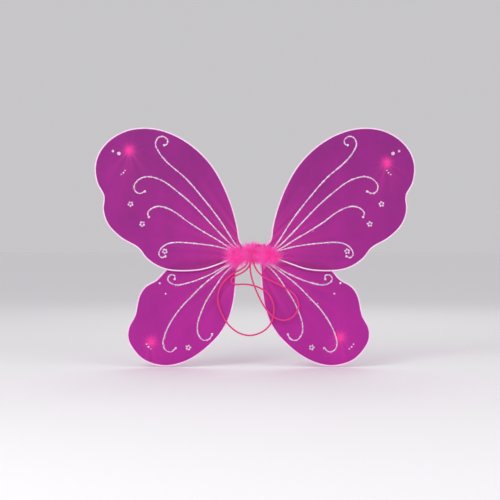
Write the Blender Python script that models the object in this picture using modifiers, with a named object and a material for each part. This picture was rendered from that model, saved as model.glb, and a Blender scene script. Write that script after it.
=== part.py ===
"""Costume fairy wings: four wire-framed nylon wings bound side by side to a taped hub.

The origin is the middle of the hub's front face, the side that lies on the wearer's
back. +X runs out along the right-hand wings as seen from that side, +Y points away
from the wearer and +Z is up. The upper pair lies in front of the lower pair. Each
side folds back, towards +Y, about an upright bend line beside the hub, and each lower
wing can splay a little further back than the upper wing in front of it.
"""
import math

import bmesh
import bpy
from mathutils import Matrix, Vector

MM = 0.001

# Driving dimensions, in metres.
WIRE_RADIUS = 0.0011
COVER_THICKNESS = 0.0008
CLEARANCE = 0.0003
HUB_WIDTH = 0.019
HUB_DEPTH = 0.013
HUB_HEIGHT = 0.025
HUB_BEVEL = 0.002
HINGE_GAP = 0.002
STUB_OVERHANG = 0.0005
UPPER_PLANE = 0.004
LOWER_PLANE = 0.009
UPPER_LIE = 0.003
LOWER_LIE = -0.0065
CORD_RADIUS = 0.00125
WIRE_POINT_GAP = 0.009
CORD_POINT_GAP = 0.0065

HINGE_X = HUB_WIDTH / 2 + HINGE_GAP
HINGE_Y = LOWER_PLANE

# Heights at which each wing's two wire ends enter the hub.
UPPER_ENDS = (0.006, 0.0015)
LOWER_ENDS = (-0.003, -0.009)

# Wire outlines as (distance out from the middle, height) in millimetres. They run
# from the upper wire end, over the tip, to the lower one.
UPPER_OUTLINE = (
    (23, 18), (27, 40), (34, 67), (46, 98), (64, 130), (88, 156), (115, 174.5),
    (142, 185), (167, 188), (192, 184.5), (216, 172), (233, 153), (240, 131),
    (237, 106), (227, 86), (228, 65), (221, 44), (201, 23.5), (175, 8), (163, -7),
    (148, -18), (130, -24.5), (104, -26), (78, -23.5), (52, -15),
)
LOWER_OUTLINE = (
    (55, -8), (79, -8), (100, -11), (115, -18), (128, -29), (138, -40), (155, -50),
    (164, -63), (168, -78), (171, -93), (181, -113), (181.5, -130), (173, -146),
    (159, -160), (141, -167.5), (122, -169.5), (102, -165.5), (82, -156),
    (61, -140), (43, -121), (30, -98), (23, -73), (20, -47), (18.5, -25),
)

# Where the end of each nylon tube is tied off by hand, on the back of the wing.
UPPER_LEFT_KNOT = (0.189, 0.155)
UPPER_RIGHT_KNOT = (0.198, 0.136)
LOWER_LEFT_KNOT = (0.147, -0.133)
LOWER_RIGHT_KNOT = (0.138, -0.126)
TIE_RADIUS = 0.004
TIE_DEPTH = 0.0016

# Each side's word, direction, upper tie and lower tie.
SIDES = (
    ("left", -1, UPPER_LEFT_KNOT, LOWER_LEFT_KNOT),
    ("right", 1, UPPER_RIGHT_KNOT, LOWER_RIGHT_KNOT),
)

# The feather trim, one tuft each side of the hub, in front of the wings' roots.
TUFT_CENTRE = (0.026, -0.0045, -0.004)
TUFT_SIZE = (0.017, 0.0065, 0.015)

# The knot that holds the right shoulder elastic on a corner of the hub's front face.
STRAP_KNOT_X = 0.010
STRAP_KNOT_Z = 0.0115
STRAP_KNOT_SIZE = (0.008, 0.0044, 0.0055)
STRAP_KNOT_BEVEL = 0.001

# Routes of the two shoulder elastics as (x, y, z) in millimetres.
RIGHT_STRAP_ROUTE = (
    (5, -2.6, 11), (3.2, -2.6, 9), (0.8, -2.6, 4), (-1.6, -2.6, -2), (-3.5, -2.5, -9),
    (-4.3, -2.2, -17), (-3.8, -1.5, -27), (-1, -0.5, -40), (5.5, 0.3, -57.5),
    (16.5, 0.5, -79), (30, 0.5, -94.5), (46, 0.5, -100.5), (60.5, 0.5, -94.5),
    (68.2, 0.5, -79), (63.5, 0.5, -64), (51.5, 0.5, -53.8), (37, 0.5, -46),
    (24.5, 0, -40), (13.5, -0.8, -33.6), (5, -1.8, -24), (1.3, -2.4, -15.4),
    (0.7, -2.6, -7), (2.7, -2.6, 0.8), (7.4, -2.6, 7.6),
)
LEFT_STRAP_ROUTE = (
    (-4.2, 4, -12.8), (-5, 4, -17.5), (-9.5, 4, -24), (-17.5, 4, -29.8), (-26, 4, -34),
    (-32.2, 4, -38.8), (-31.6, 4, -44.4), (-25.5, 4, -46.8), (-15, 4, -46.4),
    (-4.5, 4, -47.4), (8, 4, -51), (18, 4, -56.5), (25, 4, -63.5), (30.2, 4, -74.5),
    (31.4, 4, -86), (29.8, 4, -98), (23.5, 4, -110), (12, 4, -119), (-5, 4, -123.5),
    (-22.5, 4, -119), (-37.5, 4, -106.5), (-48, 4, -88.5), (-53, 4, -69), (-50, 4, -53),
    (-42, 4, -40.5), (-30.5, 4, -31), (-19, 4, -24.6), (-10.8, 4, -18.6), (-7.8, 4, -12.8),
)


def clear_scene():
    for thing in list(bpy.data.objects):
        bpy.data.objects.remove(thing, do_unlink=True)


def collection(name):
    made = bpy.data.collections.new(name)
    bpy.context.scene.collection.children.link(made)
    return made


def material(name, colour, roughness, metallic=0.0):
    made = bpy.data.materials.new(name)
    made.use_nodes = True
    shader = made.node_tree.nodes["Principled BSDF"]
    shader.inputs["Base Color"].default_value = (*colour, 1.0)
    shader.inputs["Roughness"].default_value = roughness
    shader.inputs["Metallic"].default_value = metallic
    return made


def link(thing, group, finish=None, parent=None):
    """Puts an object in its collection, gives it its material and hangs it on its parent."""
    group.objects.link(thing)
    if finish is not None:
        thing.data.materials.append(finish)
    if parent is not None:
        thing.parent = parent
        thing.matrix_parent_inverse = Matrix.Translation(-world_place(parent))
    return thing


def world_place(thing):
    place = thing.location.copy()
    while thing.parent is not None:
        place = thing.matrix_parent_inverse @ place
        thing = thing.parent
        place = place + thing.location
    return place


def pivot(name, place, group, parent=None):
    """An empty on a bend line, which carries everything that turns about it."""
    made = bpy.data.objects.new(name, None)
    made.empty_display_size = 0.01
    made.location = place
    return link(made, group, parent=parent)


def between(a, b, ta, tb, t):
    return a * ((tb - t) / (tb - ta)) + b * ((t - ta) / (tb - ta))


def smooth(points, gap):
    """Points about gap apart on a centripetal Catmull-Rom curve through the given ones."""
    given = [Vector(p) for p in points]
    first = given[0] * 2 - given[1]
    last = given[-1] * 2 - given[-2]
    padded = [first, *given, last]
    fine = []
    for a, b, c, d in zip(padded, padded[1:], padded[2:], padded[3:]):
        ta = 0.0
        tb = ta + math.sqrt((b - a).length)
        tc = tb + math.sqrt((c - b).length)
        td = tc + math.sqrt((d - c).length)
        for step in range(24):
            t = tb + (tc - tb) * step / 24
            ab = between(a, b, ta, tb, t)
            bc = between(b, c, tb, tc, t)
            cd = between(c, d, tc, td, t)
            fine.append(between(between(ab, bc, ta, tc, t), between(bc, cd, tb, td, t), tb, tc, t))
    fine.append(given[-1])
    return evenly(fine, gap)


def evenly(fine, gap):
    total = sum((b - a).length for a, b in zip(fine, fine[1:]))
    count = max(2, round(total / gap))
    wanted = [total * i / count for i in range(count + 1)]
    spaced = []
    run = 0.0
    for a, b in zip(fine, fine[1:]):
        length = (b - a).length
        while wanted and wanted[0] <= run + length + 1e-12:
            spaced.append(a.lerp(b, (wanted.pop(0) - run) / length))
        run += length
    spaced.extend(fine[-1] for _ in wanted)
    return spaced


def tube(name, path, radius, finish, group, origin=(0, 0, 0), parent=None):
    """A round wire or cord with capped ends along the path."""
    curve = bpy.data.curves.new(name, "CURVE")
    curve.dimensions = "3D"
    curve.bevel_depth = radius
    curve.bevel_resolution = 2
    curve.use_fill_caps = True
    spline = curve.splines.new("POLY")
    spline.points.add(len(path) - 1)
    for point, place in zip(spline.points, path):
        point.co = (*(place - Vector(origin)), 1.0)
    made = bpy.data.objects.new(name, curve)
    made.location = origin
    return link(made, group, finish, parent)


def panel(name, outline, plane, finish, group, origin, parent):
    """A flat sheet whose outline is given as (x, z) and whose middle lies at y = plane."""
    curve = bpy.data.curves.new(name, "CURVE")
    curve.dimensions = "2D"
    curve.fill_mode = "BOTH"
    curve.extrude = COVER_THICKNESS / 2
    spline = curve.splines.new("POLY")
    spline.points.add(len(outline) - 1)
    for point, (x, z) in zip(spline.points, outline):
        point.co = (x - origin[0], z - origin[2], 0.0, 1.0)
    spline.use_cyclic_u = True
    made = bpy.data.objects.new(name, curve)
    made.location = (origin[0], plane, origin[2])
    made.rotation_euler = (math.pi / 2, 0, 0)
    return link(made, group, finish, parent)


def squashed_ball(name, centre, size, segments, rings, finish, group, parent=None):
    """A ball with the three half-sizes given."""
    mesh = bpy.data.meshes.new(name)
    work = bmesh.new()
    bmesh.ops.create_uvsphere(work, u_segments=segments, v_segments=rings, radius=1.0)
    bmesh.ops.scale(work, vec=size, verts=work.verts)
    work.to_mesh(mesh)
    work.free()
    mesh.shade_smooth()
    made = bpy.data.objects.new(name, mesh)
    made.location = centre
    return link(made, group, finish, parent)


def block(name, low, high, bevel, finish, group):
    """A box between two corners with its edges rounded."""
    low, high = Vector(low), Vector(high)
    mesh = bpy.data.meshes.new(name)
    work = bmesh.new()
    bmesh.ops.create_cube(work, size=1.0)
    bmesh.ops.scale(work, vec=high - low, verts=work.verts)
    work.to_mesh(mesh)
    work.free()
    made = bpy.data.objects.new(name, mesh)
    made.location = (low + high) / 2
    rounding = made.modifiers.new("rounded_edges", "BEVEL")
    rounding.width = bevel
    rounding.segments = 3
    return link(made, group, finish)


def rod(name, centre, radius, length, finish, group, sides=12):
    """A cylinder along X."""
    mesh = bpy.data.meshes.new(name)
    work = bmesh.new()
    bmesh.ops.create_cone(
        work, cap_ends=True, segments=sides, radius1=radius, radius2=radius, depth=length
    )
    work.to_mesh(mesh)
    work.free()
    made = bpy.data.objects.new(name, mesh)
    made.location = centre
    made.rotation_euler = (0, math.pi / 2, 0)
    return link(made, group, finish)


def wire_path(outline, ends, side, lie, plane):
    """The wire's centreline for one side, -1 left and 1 right."""
    points = [Vector((side * HINGE_X, plane, ends[0]))]
    points += [Vector((side * x * MM + lie, plane, z * MM)) for x, z in outline]
    points.append(Vector((side * HINGE_X, plane, ends[1])))
    return smooth(points, WIRE_POINT_GAP)


def inset(path, distance):
    """The outline inside a wire path, as (x, z), without the two ends at the hub."""
    flat = [Vector((p.x, p.z)) for p in path]
    area = sum(a.x * b.y - b.x * a.y for a, b in zip(flat, flat[1:] + flat[:1]))
    turn = 1.0 if area > 0 else -1.0
    inner = []
    for before, here, after in zip(flat, flat[1:], flat[2:]):
        along = (after - before).normalized()
        inner.append(here + Vector((-along.y, along.x)) * turn * distance)
    return inner


def make_wing(name, outline, ends, side, lie, plane, knot, finishes, group, parent):
    """One wing: its wire frame, its nylon cover and the tie that closes the cover."""
    origin = (side * HINGE_X, HINGE_Y, 0.0)
    path = wire_path(outline, ends, side, lie, plane)
    tube(name + "_frame", path, WIRE_RADIUS, finishes["wire"], group, origin, parent)
    edge = inset(path, WIRE_RADIUS + CLEARANCE)
    panel(name + "_cover", edge, plane, finishes["nylon"], group, origin, parent)
    behind = plane + COVER_THICKNESS / 2 + CLEARANCE + TIE_DEPTH
    centre = (side * knot[0] + lie, behind, knot[1])
    size = (TIE_RADIUS, TIE_DEPTH, TIE_RADIUS)
    squashed_ball(name + "_tie", centre, size, 12, 8, finishes["thread"], group, parent)


def make_hub(finishes, group, cutters):
    """The taped hub with the wire ends inside it."""
    low = (-HUB_WIDTH / 2, 0, -HUB_HEIGHT / 2)
    high = (HUB_WIDTH / 2, HUB_DEPTH, HUB_HEIGHT / 2)
    hub = block("hub_wrap", low, high, HUB_BEVEL, finishes["tape"], group)
    places = [("upper_wire_end", UPPER_PLANE, z) for z in UPPER_ENDS]
    places += [("lower_wire_end", LOWER_PLANE, z) for z in LOWER_ENDS]
    length = HUB_WIDTH + 2 * STUB_OVERHANG
    for index, (name, depth, height) in enumerate(places):
        centre = (0, depth, height)
        rod(f"{name}_{index % 2 + 1}", centre, WIRE_RADIUS, length, finishes["wire"], group)
        hole = rod(
            f"wire_hole_{index + 1}", centre, WIRE_RADIUS + CLEARANCE,
            length * 2, None, cutters,
        )
        hole.hide_render = True
        hole.display_type = "WIRE"
        cut = hub.modifiers.new(hole.name, "BOOLEAN")
        cut.operation = "DIFFERENCE"
        cut.solver = "EXACT"
        cut.object = hole


def make_straps(finishes, group):
    """The two elastic shoulder loops and the knot that holds the right one."""
    size = Vector(STRAP_KNOT_SIZE)
    centre = Vector((STRAP_KNOT_X, -CLEARANCE - size.y / 2, STRAP_KNOT_Z))
    block(
        "strap_knot", centre - size / 2, centre + size / 2,
        STRAP_KNOT_BEVEL, finishes["elastic"], group,
    )
    for name, route in (("right_strap", RIGHT_STRAP_ROUTE), ("left_strap", LEFT_STRAP_ROUTE)):
        path = smooth([Vector(p) * MM for p in route], CORD_POINT_GAP)
        tube(name, path, CORD_RADIUS, finishes["elastic"], group)


def make_trim(finishes, group):
    for name, side in (("left_tuft", -1), ("right_tuft", 1)):
        centre = (side * TUFT_CENTRE[0], TUFT_CENTRE[1], TUFT_CENTRE[2])
        squashed_ball(name, centre, TUFT_SIZE, 16, 10, finishes["feather"], group)


def main():
    clear_scene()
    group = collection("fairy_wings")
    cutters = collection("fairy_wings_cutters")
    finishes = {
        "wire": material("wire", (0.86, 0.55, 0.80), 0.35),
        "nylon": material("nylon", (0.42, 0.03, 0.27), 0.45),
        "thread": material("thread", (0.80, 0.03, 0.30), 0.6),
        "tape": material("tape", (0.78, 0.04, 0.32), 0.55),
        "feather": material("feather", (0.90, 0.03, 0.32), 0.9),
        "elastic": material("elastic", (0.80, 0.03, 0.16), 0.6),
    }
    make_hub(finishes, group, cutters)
    for word, side, upper_knot, lower_knot in SIDES:
        place = (side * HINGE_X, HINGE_Y, 0.0)
        fold = pivot(word + "_fold", place, group)
        splay = pivot(word + "_splay", place, group, parent=fold)
        make_wing(
            f"upper_{word}", UPPER_OUTLINE, UPPER_ENDS, side, UPPER_LIE, UPPER_PLANE,
            upper_knot, finishes, group, fold,
        )
        make_wing(
            f"lower_{word}", LOWER_OUTLINE, LOWER_ENDS, side, LOWER_LIE, LOWER_PLANE,
            lower_knot, finishes, group, splay,
        )
    make_trim(finishes, group)
    make_straps(finishes, group)


main()
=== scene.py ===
"""Costume fairy wings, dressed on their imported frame.

Each wing gets its wire, its two-skinned nylon cover, the gathers that close the
cover and its glitter glue drawing. The hub gets its wound tape, its down trim and
the two braided shoulder elastics.
"""
import math
import random

import bmesh
import bpy
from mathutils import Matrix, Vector, noise


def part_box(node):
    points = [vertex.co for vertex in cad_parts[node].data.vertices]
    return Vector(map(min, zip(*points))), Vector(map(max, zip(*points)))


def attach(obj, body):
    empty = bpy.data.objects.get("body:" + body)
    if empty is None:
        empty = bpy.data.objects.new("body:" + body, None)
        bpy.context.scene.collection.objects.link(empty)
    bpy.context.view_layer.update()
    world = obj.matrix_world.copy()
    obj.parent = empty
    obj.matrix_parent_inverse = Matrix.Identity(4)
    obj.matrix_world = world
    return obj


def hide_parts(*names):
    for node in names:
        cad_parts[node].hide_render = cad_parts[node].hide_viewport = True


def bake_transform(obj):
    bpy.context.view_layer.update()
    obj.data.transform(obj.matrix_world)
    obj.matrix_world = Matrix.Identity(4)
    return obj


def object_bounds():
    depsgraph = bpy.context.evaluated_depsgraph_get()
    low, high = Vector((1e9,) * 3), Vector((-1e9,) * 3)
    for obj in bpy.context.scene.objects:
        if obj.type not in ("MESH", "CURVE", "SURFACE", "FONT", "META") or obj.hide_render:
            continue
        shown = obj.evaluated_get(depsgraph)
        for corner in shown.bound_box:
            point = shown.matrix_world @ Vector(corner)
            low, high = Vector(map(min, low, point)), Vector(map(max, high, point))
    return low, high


bl_info = {
    "name": "Fairy Wings",
    "version": (1, 0, 0),
    "blender": (4, 5, 0),
    "location": "3D View > Sidebar > Fairy Wings",
    "description": "Dresses a pair of wire and nylon costume wings",
    "category": "Object",
}

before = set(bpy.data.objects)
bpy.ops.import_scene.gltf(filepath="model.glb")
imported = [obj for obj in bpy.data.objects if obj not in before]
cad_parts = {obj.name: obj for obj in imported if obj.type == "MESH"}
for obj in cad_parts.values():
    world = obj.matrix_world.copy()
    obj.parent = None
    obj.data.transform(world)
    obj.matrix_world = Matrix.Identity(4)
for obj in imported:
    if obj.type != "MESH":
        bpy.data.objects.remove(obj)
CAD_LOW, CAD_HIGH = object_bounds()

MM = 0.001
WINGS = {"upper_left": -1, "upper_right": 1, "lower_left": -1, "lower_right": 1}

# Glitter lines, as (distance out from the pair's middle, height) in millimetres.
UPPER_VEINS = (
    ((23, 5), (31, 14), (54, 49.5), (79, 82), (105.5, 112.5), (131, 134.5), (144.5, 149.7),
     (151, 164.5), (146.5, 174), (139.5, 175.5), (133, 170.5), (134, 164), (138, 162.5)),
    ((25, 4), (35, 11), (57, 33), (72, 49), (93, 71), (117, 92), (137, 107), (152, 113.5),
     (165, 115), (176, 111), (183, 102), (181.5, 93.5), (174.5, 90), (167, 93)),
    ((26, 2.5), (37, 7), (57.6, 20), (83, 35), (103, 48), (119, 60), (134, 68), (147.5, 70.5),
     (158, 66.5), (162.7, 60.5), (161, 54.5)),
    ((27, 2), (38, 5), (60, 10.5), (80, 13.5), (100, 15.5), (118, 16.5), (132, 14.5),
     (142, 8), (146, -1), (142, -6.5), (136, -4.5)),
)
LOWER_VEINS = (
    ((26, -13), (40, -20.5), (55.5, -29.6), (79, -40), (97, -45.6), (110, -47.7), (120, -44.5),
     (124, -38.7), (120, -32.7), (113.7, -33.4), (113.5, -38.9)),
    ((25, -15), (34, -19.5), (46, -28), (70, -47), (88, -65), (105, -83), (119, -103), (128, -122),
     (131, -137), (127, -146), (119, -148.5), (112, -143)),
    ((22.5, -16), (31, -23), (41, -34), (54, -53), (66, -72), (74, -90), (79, -107), (78, -122),
     (70, -131), (61, -129), (57, -122)),
)
# How far off the middle each pair's drawing lies, in millimetres.
DRAWING_LIE = {"upper": 4.5, "lower": -4.5}
# Glitter dots as (out, height, radius), and blossoms as (out, height).
UPPER_DOTS = ((206, 150, 2.8), (215, 153.5, 1.9), (199, 121, 1.3), (202.5, 118.5, 1.1),
              (196.5, 124.5, 1.1))
LOWER_DOTS = ((127, -61, 1.4), (136, -45, 1.6), (153, -141, 1.5), (149.5, -144, 1.1),
              (156, -137, 1.1))
UPPER_BLOSSOMS = ((188.5, 74), (171, 44), (137, 3))
LOWER_BLOSSOMS = ((93, -142),)
DRAWINGS = {
    "upper": (UPPER_VEINS, UPPER_DOTS, UPPER_BLOSSOMS),
    "lower": (LOWER_VEINS, LOWER_DOTS, LOWER_BLOSSOMS),
}
# A blossom's petals are dots round its middle, in millimetres.
PETALS, PETAL_REACH, PETAL_RADIUS = 5, 2.9, 1.6
# The share of a line's points that have a loose flake beside them.
STRAY_SHARE = 0.3

# Between the points of the nylon's rim, the glue lines and the elastics.
RIM_GAP, GLUE_GAP, STRAP_GAP = 0.0022, 0.0011, 0.0008
# The frame's cover stops this far inside the wire, and its wire starts this far off its stub.
COVER_GAP, STUB_GAP = 0.0003, 0.0015
# How fast the folds at a tied end begin and die out, and the dimple that the thread pulls in.
PUCKER_START, PUCKER_FADE, DIMPLE, DIMPLE_FADE = 0.002, 0.016, 0.0006, 0.004
# Where the pleats at the hub fan out from, and how fast they die out.
PLEAT_MIDDLE, PLEAT_FADE = (0.0, -0.002), 0.05
# How far the hot pink spot at a tie reaches, and its rays, which run on below it.
SPOT_FADE, RAY_FADE, RAY_BELOW = 0.0075, 0.007, 0.02
# How far the upper pair's spokes bow near the hub, and how fast that dies out along the rim.
SPOKE_BOW, SPOKE_FADE = 0.006, 0.015
# Each pair's sleeve: its start off the hub, its drift up or down and its half depth there. The
# lower pair's starts clear of the wire stubs and is thinner, because it turns with its wing.
SLEEVES = {"upper": (0.0006, 0.0045, 0.0021), "lower": (0.0027, -0.0055, 0.00135)}
SLEEVE_LENGTH = 0.0125
# The bunch behind a tie, as (share of its reach, share of its depth), from skin to frill.
BUNCH_PROFILE = ((1.0, 0.0), (0.62, 0.14), (0.42, 0.32), (0.4, 0.46), (0.46, 0.6), (0.66, 0.78),
                 (0.86, 0.92), (0.95, 1.0), (0.8, 0.96), (0.4, 0.8), (0.1, 0.72))
# The down: the share of clumps along the cord, how widely clumps and barbs spread and bend,
# how flat they lie against the wings, and the range of their tones.
HUB_FRONT, CORD_SHARE = (0.0, -0.0022, 0.0005), 0.42
CLUMP_SWEEP, BARB_FAN, BARB_BEND, FLATTEN, TONES = 0.0034, 0.0024, 0.0012, 0.4, (-0.25, 0.3)
# How far back the tips reach beside the hub and over it, where the hub's part ends, and how
# far they stand out to the front of everything else.
DOWN_BACK, HUB_DOWN_BACK, HUB_REACH, DOWN_FRONT = 0.0014, -0.0004, 0.011, 0.004

# Wave textures repeat every 0.314 / scale metres. The nylon's real wales are 0.3 mm apart, too
# fine to show, so they are drawn 1.6 mm apart, and the tape's threads 1.4 mm apart.
WALE_SCALE, WEAVE_SCALE = 1000 / 0.8 / 6.2832, 1000 / 0.7 / 6.2832

WORLD_STRENGTH = 0.62
# How far the floor runs out each way, and its drop below the wings.
FLOOR_REACH, FLOOR_DROP = 60.0, 0.0015
# Where the camera looks, as (x, z).
VIEW_MIDDLE = (-0.0045, 0.005)

# The elastics' routes in millimetres, the same ones that the frame was made with.
RIGHT_STRAP_ROUTE = (
    (5, -2.6, 11), (3.2, -2.6, 9), (0.8, -2.6, 4), (-1.6, -2.6, -2), (-3.5, -2.5, -9),
    (-4.3, -2.2, -17), (-3.8, -1.5, -27), (-1, -0.5, -40), (5.5, 0.3, -57.5),
    (16.5, 0.5, -79), (30, 0.5, -94.5), (46, 0.5, -100.5), (60.5, 0.5, -94.5),
    (68.2, 0.5, -79), (63.5, 0.5, -64), (51.5, 0.5, -53.8), (37, 0.5, -46),
    (24.5, 0, -40), (13.5, -0.8, -33.6), (5, -1.8, -24), (1.3, -2.4, -15.4),
    (0.7, -2.6, -7), (2.7, -2.6, 0.8), (7.4, -2.6, 7.6),
)
LEFT_STRAP_ROUTE = (
    (-4.2, 4, -12.8), (-5, 4, -17.5), (-9.5, 4, -24), (-17.5, 4, -29.8), (-26, 4, -34),
    (-32.2, 4, -38.8), (-31.6, 4, -44.4), (-25.5, 4, -46.8), (-15, 4, -46.4),
    (-4.5, 4, -47.4), (8, 4, -51), (18, 4, -56.5), (25, 4, -63.5), (30.2, 4, -74.5),
    (31.4, 4, -86), (29.8, 4, -98), (23.5, 4, -110), (12, 4, -119), (-5, 4, -123.5),
    (-22.5, 4, -119), (-37.5, 4, -106.5), (-48, 4, -88.5), (-53, 4, -69), (-50, 4, -53),
    (-42, 4, -40.5), (-30.5, 4, -31), (-19, 4, -24.6), (-10.8, 4, -18.6), (-7.8, 4, -12.8),
)


def length_property(name, description, default):
    return bpy.props.FloatProperty(
        name=name, description=description, default=default, min=0.0,
        unit="LENGTH", subtype="DISTANCE", precision=5,
    )


def hex_property(name, description, default):
    return bpy.props.StringProperty(name=name, description=description, default=default)


class FairyWingsNylon(bpy.types.PropertyGroup):
    """The dyed nylon tubes that cover the wires."""

    half_depth: length_property("Half depth", "From the wire's middle to each skin", 0.0009)
    pleat: length_property("Pleat", "How far a pleat at the root stands out", 0.0007)
    pucker: length_property("Pucker", "How far a pucker at a tied end stands out", 0.0005)
    body: hex_property("Body colour", "Dye of the nylon where it is slack", "#C824B0")
    shade: hex_property("Shade colour", "Dye where the nylon is stretched thinnest", "#8C2286")
    bunched: hex_property("Bunched colour", "Dye where the nylon is bunched", "#FF2FA8")
    light: hex_property("Light colour", "What shines through one skin", "#E66AD2")


class FairyWingsWire(bpy.types.PropertyGroup):
    """The coated steel wire."""

    colour: hex_property("Colour", "The wire's coating", "#FFE4FA")
    point_gap: length_property("Point gap", "Between the points of the wire's path", 0.0025)


class FairyWingsGlitter(bpy.types.PropertyGroup):
    """Glitter glue drawn on the front skin."""

    half_width: length_property("Half width", "Half the width of a glue line", 0.00115)
    height: length_property("Height", "How far a glue line stands up", 0.0008)
    flake: length_property("Flake", "Width of a glitter flake", 0.00055)
    glue: hex_property("Glue colour", "Dried glue full of fine glitter", "#DD9CD0")
    # In the glue this colour makes painted glints; on the loose flakes it is their silvery colour.
    bright: hex_property("Bright colour", "Flakes that catch the light", "#FFF4FF")


class FairyWingsTrim(bpy.types.PropertyGroup):
    """The down tufts and the taped hub."""

    clumps: bpy.props.IntProperty(
        name="Clumps", description="Clumps of down in each tuft", default=230, min=1
    )
    barbs: bpy.props.IntProperty(
        name="Barbs", description="Barbs in each clump", default=13, min=1
    )
    barb_radius: length_property("Barb radius", "At a barb's root", 0.00017)
    down: hex_property("Down colour", "Dye of the down", "#FF86E0")
    # The deep colour is painted shade, for the depth of a tuft and the barbs' roots.
    down_painted_shade: hex_property("Deep down colour", "Dye in the depth of a tuft", "#F818A8")
    tape: hex_property("Tape colour", "The hub's cloth tape", "#FF40AA")


class FairyWingsElastic(bpy.types.PropertyGroup):
    """The shoulder elastics."""

    diameter: length_property("Diameter", "Thickness of the elastic", 0.0025)
    colour: hex_property("Colour", "Dye of the braid", "#EE3088")


class FairyWingsStage(bpy.types.PropertyGroup):
    """Floor, light and camera."""

    floor: hex_property("Floor colour", "A plain pale floor", "#FDFCFE")
    focal_length: bpy.props.FloatProperty(
        name="Focal length", description="The camera's lens", default=85.0, unit="CAMERA"
    )
    view_width: length_property("View width", "What the camera sees at the wings", 0.75)


def linear(text):
    """A linear RGBA colour from an sRGB hex value."""
    channels = [int(text[i:i + 2], 16) / 255 for i in (1, 3, 5)]
    lit = [c / 12.92 if c <= 0.04045 else ((c + 0.055) / 1.055) ** 2.4 for c in channels]
    return (*lit, 1.0)


def add_node(tree, kind, inputs=None, **settings):
    """A node with its settings, and with each named input set to a value or linked to a socket."""
    made = tree.nodes.new(kind)
    for key, value in settings.items():
        setattr(made, key, value)
    for key, value in (inputs or {}).items():
        if isinstance(value, bpy.types.NodeSocket):
            tree.links.new(value, made.inputs[key])
        else:
            made.inputs[key].default_value = value
    return made


def new_material(name):
    made = bpy.data.materials.new(name)
    made.use_nodes = True
    made.node_tree.nodes.clear()
    return made, made.node_tree


def ramp_between(tree, factor, low, high, start=0.0, end=1.0):
    """A colour that runs from low to high as factor runs from start to end."""
    made = add_node(tree, "ShaderNodeValToRGB", {"Fac": factor})
    made.color_ramp.elements[0].position = start
    made.color_ramp.elements[0].color = low
    made.color_ramp.elements[1].position = end
    made.color_ramp.elements[1].color = high
    return made.outputs["Color"]


def scaled_place(tree, scale):
    """The point's own place on the piece, scaled, so that a pattern stays on it as it moves."""
    place = add_node(tree, "ShaderNodeTexCoord")
    return add_node(
        tree, "ShaderNodeMapping", {"Vector": place.outputs["Object"], "Scale": scale}
    ).outputs["Vector"]


def finish_with(tree, shader):
    add_node(tree, "ShaderNodeOutputMaterial", {"Surface": shader})


def opaque(tree, inputs):
    """Ends a material in one surface that lets nothing through."""
    surface = add_node(tree, "ShaderNodeBsdfPrincipled", inputs)
    finish_with(tree, surface.outputs["BSDF"])


def vertex_value(tree, name):
    """A number that the piece holds at each of its vertices."""
    return add_node(tree, "ShaderNodeAttribute", attribute_name=name).outputs["Fac"]


def cloudy(tree, scale, detail):
    """Soft noise that stays on the piece."""
    return add_node(
        tree, "ShaderNodeTexNoise",
        {"Vector": scaled_place(tree, scale), "Scale": 1.0, "Detail": detail},
    ).outputs["Fac"]


def bands(tree, scale, axis, **inputs):
    """Bands across one axis that stay on the piece."""
    return add_node(
        tree, "ShaderNodeTexWave",
        {"Vector": scaled_place(tree, (scale,) * 3), "Scale": 1.0, **inputs},
        bands_direction=axis,
    ).outputs["Fac"]


def bump_from(tree, height, strength, distance):
    return add_node(
        tree, "ShaderNodeBump", {"Strength": strength, "Distance": distance, "Height": height}
    ).outputs["Normal"]


def range_between(tree, value, low, high, start=0.0, end=1.0):
    """A number that runs from low to high as value runs from start to end."""
    return add_node(
        tree, "ShaderNodeMapRange",
        {"Value": value, "From Min": start, "From Max": end, "To Min": low, "To Max": high},
    ).outputs["Result"]


def dyed_nylon(look):
    """Circular-knit nylon, dyed magenta and stretched over the wire.

    Where it is stretched the gaps between the stitches let light through, so it is
    darker and more purple. Where it is bunched it is a solid hot pink.
    """
    made, tree = new_material("dyed_knit_nylon")
    bunched = vertex_value(tree, "bunched")
    # The dye and the stretch drift over about 40 mm, a little further up and down the tube.
    drift = cloudy(tree, (26.0, 26.0, 14.0), 4.0)
    uneven = add_node(
        tree, "ShaderNodeMath", {0: drift, 1: 0.9, 2: -0.45}, operation="MULTIPLY_ADD"
    )
    loose = add_node(
        tree, "ShaderNodeMath", {0: vertex_value(tree, "slack"), 1: uneven.outputs["Value"]}
    )
    stretched = ramp_between(tree, loose.outputs["Value"], linear(look.shade), linear(look.body))
    colour = add_node(
        tree, "ShaderNodeMix",
        {"Factor": bunched, "A": stretched, "B": linear(look.bunched)}, data_type="RGBA",
    ).outputs[2]
    stitches = bands(tree, WALE_SCALE, "X", Distortion=1.2, Detail=1.0)
    cloth = add_node(
        tree, "ShaderNodeBsdfPrincipled",
        {"Base Color": colour, "Roughness": 0.58, "IOR": 1.53, "Sheen Weight": 0.06,
         "Sheen Roughness": 0.4, "Sheen Tint": linear(look.light),
         "Normal": bump_from(tree, stitches, 0.25, 0.0002)},
    )
    gaps = add_node(tree, "ShaderNodeBsdfTransparent", {"Color": linear(look.light)})
    skin = add_node(
        tree, "ShaderNodeMixShader",
        {"Fac": range_between(tree, bunched, 0.5, 0.99), 1: gaps.outputs["BSDF"],
         2: cloth.outputs["BSDF"]},
    )
    finish_with(tree, skin.outputs["Shader"])
    return made


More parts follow.
